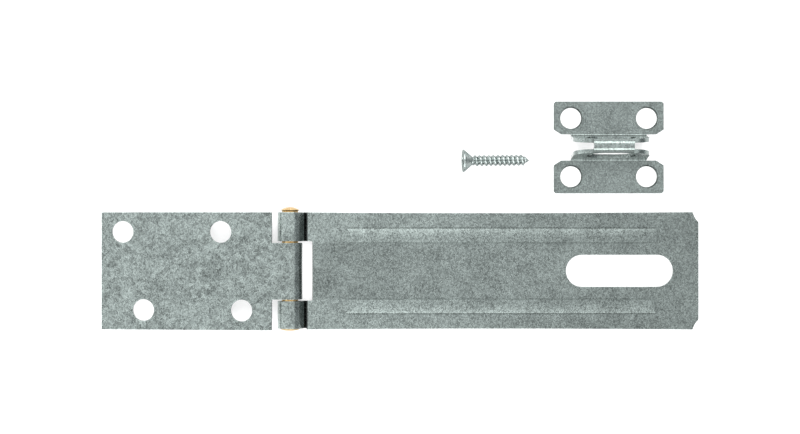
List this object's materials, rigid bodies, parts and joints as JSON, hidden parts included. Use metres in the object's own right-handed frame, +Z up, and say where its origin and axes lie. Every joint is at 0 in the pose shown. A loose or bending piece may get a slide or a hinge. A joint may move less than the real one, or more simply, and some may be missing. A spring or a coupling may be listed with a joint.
{
  "type": "hasp and staple",
  "caption": "Hinged safety hasp with a slotted, ribbed strap, a brass hinge pin, a folded staple plate for a padlock, and a countersunk wood screw.",
  "frame": {"origin": "on the ground, under the middle of the whole layout's box", "axes": "+X along the strap, away from the hinge; +Y from the hasp towards the staple, along the hinge pin; +Z up"},
  "size_m": [0.184, 0.0706, 0.0175],
  "materials": {
    "galvanised_steel": "hot-dip galvanised, mottled satin",
    "brass": "drawn, satin",
    "zinc_plate": "bright zinc plate"
  },
  "bodies": {
    "leaf": {"base_leaf": "galvanised_steel"},
    "strap": {"hasp_strap": "galvanised_steel", "hinge_pin": "brass"},
    "staple": {"staple": "galvanised_steel"},
    "screw": {"wood_screw": "zinc_plate"}
  },
  "joints": [
    {"name": "strap_hinge", "type": "hinge", "parent": "leaf", "child": "strap", "pos_m": [-0.03372, -0.01688, 0.0038], "axis": [0, 1, 0], "range_deg": [-155, 173]},
    {"name": "staple_lift", "type": "slide", "parent": "leaf", "child": "staple", "axis": [0, 0, 1], "range_m": [0, 0.03]},
    {"name": "screw_lift", "type": "slide", "parent": "leaf", "child": "screw", "axis": [0, 0, 1], "range_m": [0, 0.03]}
  ]
}
